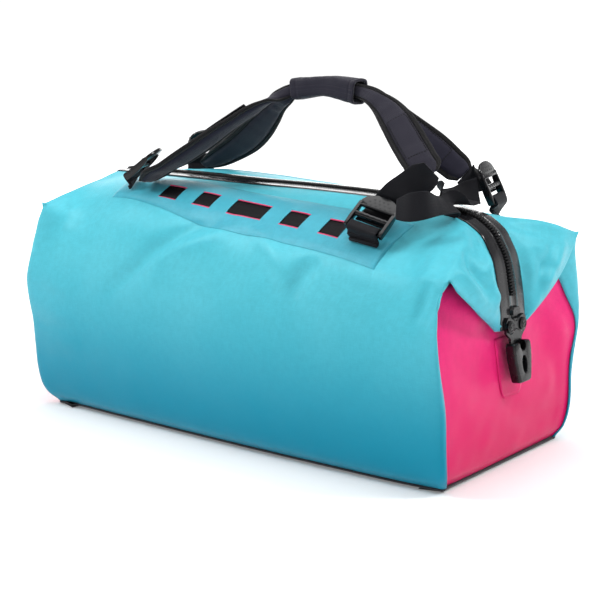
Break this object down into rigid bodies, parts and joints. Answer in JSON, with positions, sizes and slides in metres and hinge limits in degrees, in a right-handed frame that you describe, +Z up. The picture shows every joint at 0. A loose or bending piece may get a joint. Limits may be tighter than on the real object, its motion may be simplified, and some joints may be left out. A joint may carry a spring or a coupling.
{
  "type": "duffel bag",
  "caption": "Waterproof duffel bag with a zip over the top, folded and buckled ends, padded straps held in a grip and a webbing chain on each side.",
  "frame": {"origin": "middle of the bag's bounding box, on the underside of the floor panel", "axes": "+X along the bag to its right end, +Y to its rear, +Z up; the pictured flank faces -Y"},
  "size_m": [0.6248, 0.308, 0.4135],
  "materials": {
    "turquoise_fabric": "satin",
    "pink_fabric": "satin",
    "floor_fabric": "matte",
    "patch_film": "satin",
    "zip_tape": "gloss",
    "zip_teeth": "gloss",
    "hardware": "satin",
    "socket_plastic": "gloss",
    "webbing": "matte",
    "strap_pad": "matte"
  },
  "bodies": {
    "root": {"anchor_front_left": "webbing", "anchor_front_right": "webbing", "anchor_rear_left": "webbing", "anchor_rear_right": "webbing", "base": "floor_fabric", "buckle_socket_left": "socket_plastic", "buckle_socket_right": "socket_plastic", "daisy_chain_front": "webbing", "daisy_chain_rear": "webbing", "end_clip_left": "hardware", "end_clip_right": "hardware", "end_left": "pink_fabric", "end_right": "pink_fabric", "grip": "strap_pad", "ladder_lock_front_left": "hardware", "ladder_lock_front_right": "hardware", "ladder_lock_rear_left": "hardware", "ladder_lock_rear_right": "hardware", "patch_front": "patch_film", "patch_rear": "patch_film", "rivet_left_front": "hardware", "rivet_left_rear": "hardware", "rivet_right_front": "hardware", "rivet_right_rear": "hardware", "side_front": "turquoise_fabric", "side_rear": "turquoise_fabric", "socket_patch_left": "pink_fabric", "socket_patch_right": "pink_fabric", "strap_front": "strap_pad", "strap_loop": "webbing", "strap_rear": "strap_pad", "tail_front": "webbing", "tail_rear": "webbing", "web_front_right": "webbing", "web_rear_right": "webbing", "zip_dock": "hardware", "zip_slider": "hardware", "zip_tape": "zip_tape", "zip_teeth": "zip_teeth"}
  },
  "joints": []
}
